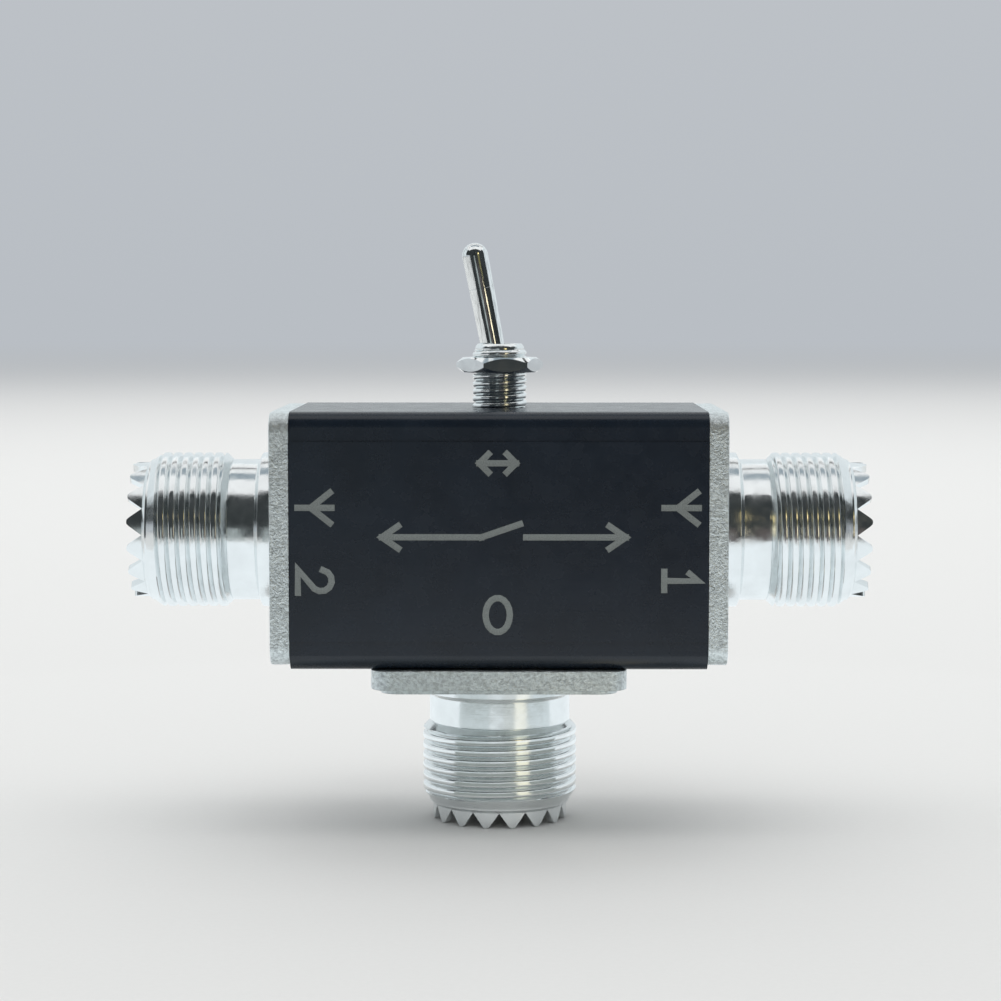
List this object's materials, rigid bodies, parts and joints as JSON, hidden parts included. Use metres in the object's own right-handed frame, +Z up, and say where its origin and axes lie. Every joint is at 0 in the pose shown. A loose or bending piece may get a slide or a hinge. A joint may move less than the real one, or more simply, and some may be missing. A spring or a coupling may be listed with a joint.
{
  "type": "coaxial antenna switch",
  "caption": "Coaxial antenna switch: square metal case with a toothed, threaded coaxial jack at each end and below, and a toggle lever on top.",
  "frame": {"origin": "centre of the bottom jack's mouth, at the tips of its teeth, on which the switch stands", "axes": "+Z up towards the toggle lever; +X from the left jack to the right one; +Y from the engraved front to the rear"},
  "size_m": [0.0754, 0.0254, 0.0594],
  "materials": {
    "case": "black anodised, bead blasted",
    "cast_shell": "rough die casting, nickel plated",
    "insulator": "white moulded insulator",
    "contact": "silver plated brass",
    "screw": "zinc plated",
    "switch_metal": "bright nickel plated, turned",
    "lever_metal": "bright nickel plated, smooth",
    "spring_steel": "pressed steel",
    "phenolic": "moulded phenolic",
    "terminal": "tinned brass",
    "wire": "bare copper"
  },
  "bodies": {
    "root": {"case_tube": "case", "ant1_jack_shell": "cast_shell", "ant1_insulator": "insulator", "ant1_centre_contact": "contact", "ant1_flange_screws": "screw", "ant2_jack_shell": "cast_shell", "ant2_insulator": "insulator", "ant2_centre_contact": "contact", "ant2_flange_screws": "screw", "tx_jack_shell": "cast_shell", "tx_insulator": "insulator", "tx_centre_contact": "contact", "tx_flange_screws": "screw", "switch_bushing": "switch_metal", "switch_nut": "switch_metal", "switch_lock_washer": "spring_steel", "switch_frame": "spring_steel", "switch_body": "phenolic", "ant1_terminal": "terminal", "ant2_terminal": "terminal", "common_terminal": "terminal", "ant1_wire": "wire", "ant2_wire": "wire", "common_wire": "wire"},
    "lever": {"switch_lever": "lever_metal", "lever_spring": "spring_steel"},
    "plunger": {"lever_plunger": "contact"},
    "rocker": {"rocker_contact": "contact"}
  },
  "joints": [
    {"name": "lever_throw", "type": "hinge", "parent": "root", "child": "lever", "pos_m": [0, 0, 0.04525], "axis": [0, 1, 0], "range_deg": [0, 22.2]},
    {"name": "plunger_slide", "type": "slide", "parent": "lever", "child": "plunger", "axis": [-0.1925, 0, 0.9813], "range_m": [0, 0.0004], "deforming": ["lever_spring"]},
    {"name": "rocker_tip", "type": "hinge", "parent": "root", "child": "rocker", "pos_m": [0, 0, 0.0344], "axis": [0, 1, 0], "range_deg": [-16, 0]}
  ],
  "couplings": [
    {"joint": "rocker_tip", "follows": "lever_throw", "ratio": -0.7207}
  ]
}
